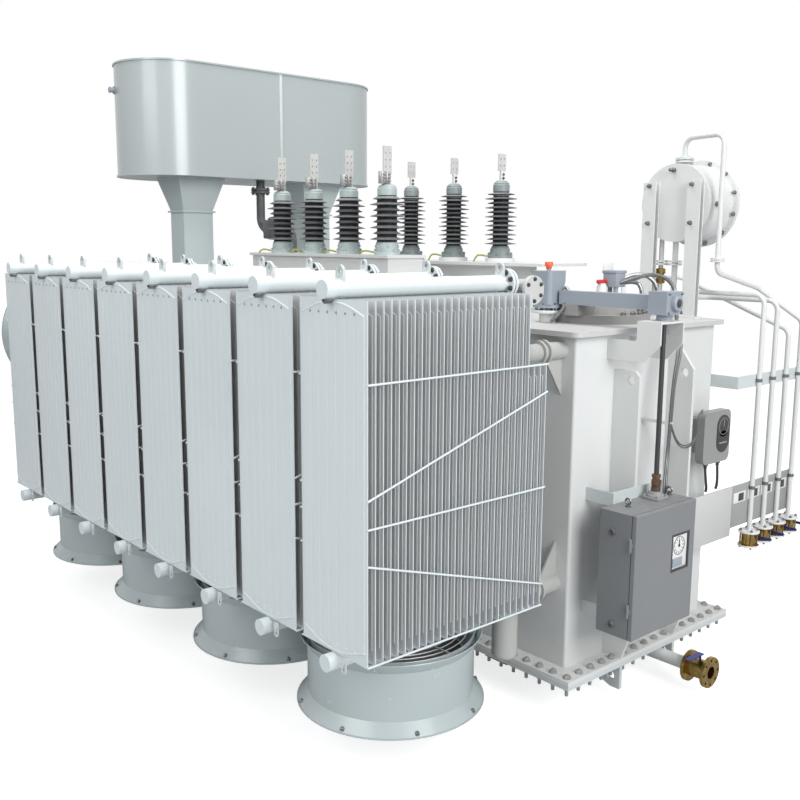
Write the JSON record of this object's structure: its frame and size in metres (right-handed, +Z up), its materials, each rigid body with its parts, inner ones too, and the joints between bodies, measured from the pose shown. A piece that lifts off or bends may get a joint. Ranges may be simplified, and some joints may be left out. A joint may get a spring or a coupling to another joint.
{
  "type": "power transformer",
  "caption": "Oil-filled power transformer: tank with ribs and cover bushings, a bank of panel radiators with fans, a round-ended conservator and a tap changer drive.",
  "frame": {"origin": "floor level under the middle of the tank, on the underside of the middle bearer", "axes": "+X along the tank to the end with the drive cabinet, +Y away from the radiators, +Z up"},
  "size_m": [5.59, 4.131, 4.373],
  "materials": {
    "base_steel": "matt",
    "blue_lever": "gloss",
    "brass": "dull",
    "dark_steel": "satin",
    "fan_blade": "satin",
    "grey_enclosure": "satin",
    "light_paint": "satin",
    "porcelain": "glossy",
    "radiator_paint": "satin",
    "tinned_terminal": "satin"
  },
  "bodies": {
    "transformer": {"base_bearers": "base_steel", "bevel_gearbox": "grey_enclosure", "bushing_turrets": "light_paint", "bushings": "porcelain", "collector_stubs": "light_paint", "conservator": "light_paint", "conservator_pedestals": "light_paint", "drive_cabinet": "grey_enclosure", "drive_shaft": "dark_steel", "end_fan_casing": "light_paint", "fan_casing_1": "light_paint", "fan_casing_2": "light_paint", "fan_casing_3": "light_paint", "fan_casing_4": "light_paint", "gas_relay_pipe": "light_paint", "gearbox_bracket": "light_paint", "oil_collectors": "light_paint", "oil_pipes": "light_paint", "oil_valves": "brass", "radiator_1": "radiator_paint", "radiator_2": "radiator_paint", "radiator_3": "radiator_paint", "radiator_4": "radiator_paint", "radiator_5": "radiator_paint", "radiator_6": "radiator_paint", "radiator_7": "radiator_paint", "radiator_8": "radiator_paint", "relief_valve": "grey_enclosure", "shaft_guard": "grey_enclosure", "tank_body": "light_paint", "tank_cover": "light_paint", "tank_floor": "light_paint", "tap_changer_head": "light_paint", "tap_conservator": "light_paint", "tap_conservator_posts": "light_paint", "terminal_palms": "tinned_terminal", "thermometer_box": "grey_enclosure", "valve_levers": "blue_lever", "wall_brackets": "light_paint"},
    "fan_1": {"fan_rotor_1": "fan_blade"},
    "fan_2": {"fan_rotor_2": "fan_blade"},
    "fan_3": {"fan_rotor_3": "fan_blade"},
    "fan_4": {"fan_rotor_4": "fan_blade"},
    "end_fan": {"end_fan_rotor": "fan_blade"},
    "cabinet_door": {"drive_cabinet_door": "grey_enclosure"}
  },
  "joints": [
    {"name": "fan_spin_1", "type": "hinge", "parent": "transformer", "child": "fan_1", "pos_m": [-1.568, -1.8069, 0.5007], "axis": [0, 0, 1], "continuous": true},
    {"name": "fan_spin_2", "type": "hinge", "parent": "transformer", "child": "fan_2", "pos_m": [-0.396, -1.8069, 0.5007], "axis": [0, 0, 1], "continuous": true},
    {"name": "fan_spin_3", "type": "hinge", "parent": "transformer", "child": "fan_3", "pos_m": [0.776, -1.8069, 0.5007], "axis": [0, 0, 1], "continuous": true},
    {"name": "fan_spin_4", "type": "hinge", "parent": "transformer", "child": "fan_4", "pos_m": [1.948, -1.8069, 0.5007], "axis": [0, 0, 1], "continuous": true},
    {"name": "end_fan_spin", "type": "hinge", "parent": "transformer", "child": "end_fan", "pos_m": [-2.366, -1.8069, 2.04], "axis": [1, 0, 0], "continuous": true},
    {"name": "cabinet_door_hinge", "type": "hinge", "parent": "transformer", "child": "cabinet_door", "pos_m": [2.7725, -0.735, 0.956], "axis": [0, 0, -1], "range_deg": [0, 110]}
  ]
}
